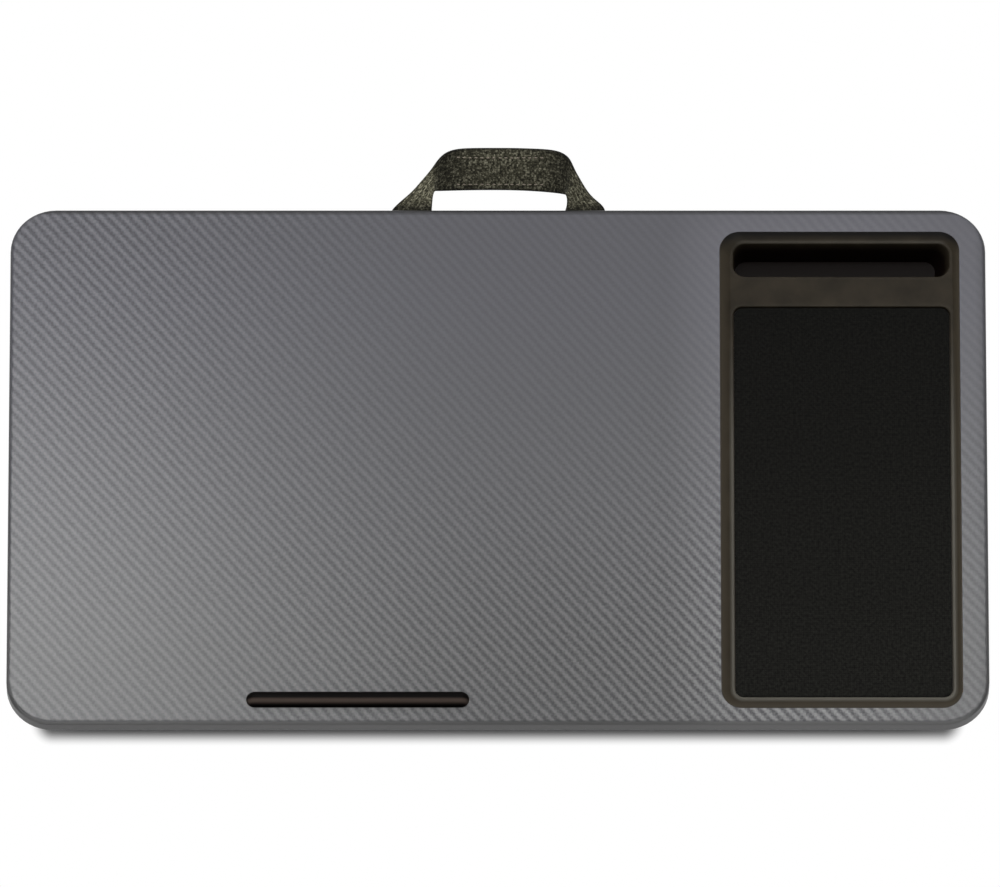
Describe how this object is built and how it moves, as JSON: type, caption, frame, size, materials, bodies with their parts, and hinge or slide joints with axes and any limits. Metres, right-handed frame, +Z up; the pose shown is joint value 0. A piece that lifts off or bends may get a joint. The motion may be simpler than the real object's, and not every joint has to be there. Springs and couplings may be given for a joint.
{
  "type": "lap tray with cushion",
  "caption": "Rectangular lap tray with a carbon-pattern top, a sunken insert with mouse pad and phone slot, a laptop ledge, a soft cushion below and a fabric carrying strap.",
  "frame": {"origin": "on the surface that the cushion rests on, at the middle of the whole footprint, strap included", "axes": "+X along the tray's length, towards the mouse pad; +Y towards the back, where the strap is; +Z up"},
  "size_m": [0.536, 0.3416, 0.066],
  "materials": {
    "fibreboard": "matte",
    "carbon_pattern_film": "satin",
    "liner_paper": "matte",
    "moulded_abs": "satin",
    "zinc_steel": "satin",
    "adhesive_film": "satin",
    "pad_rubber": "matte",
    "pad_cloth": "matte",
    "ledge_rubber": "gloss",
    "hardboard": "matte",
    "cushion_cloth": "matte",
    "fibre_fill": "matte",
    "strap_cloth": "matte"
  },
  "bodies": {
    "tray": {"board_core": "fibreboard", "carbon_film": "carbon_pattern_film", "underside_liner": "liner_paper", "insert_tray": "moulded_abs", "insert_washers": "zinc_steel", "insert_screws": "zinc_steel", "mouse_pad_tape": "adhesive_film", "mouse_pad_rubber": "pad_rubber", "mouse_pad_cloth": "pad_cloth", "device_ledge": "ledge_rubber", "ledge_tape": "adhesive_film", "backer_panel": "hardboard", "backer_screws": "zinc_steel", "cover_base_cloth": "cushion_cloth", "hem_staples": "zinc_steel", "front_bolster_cover": "cushion_cloth", "front_bolster_fill": "fibre_fill", "rear_bolster_cover": "cushion_cloth", "rear_bolster_fill": "fibre_fill", "handle_end_left": "strap_cloth", "handle_end_right": "strap_cloth", "handle_staples": "zinc_steel"},
    "handle": {"handle_loop": "strap_cloth"}
  },
  "joints": [
    {"name": "handle_swing", "type": "hinge", "parent": "tray", "child": "handle", "pos_m": [0, 0.13724, 0.0503], "axis": [1, 0, 0], "range_deg": [-95, 75], "stiffness_Nm_per_rad": 0.02, "springref_deg": 0.97}
  ]
}
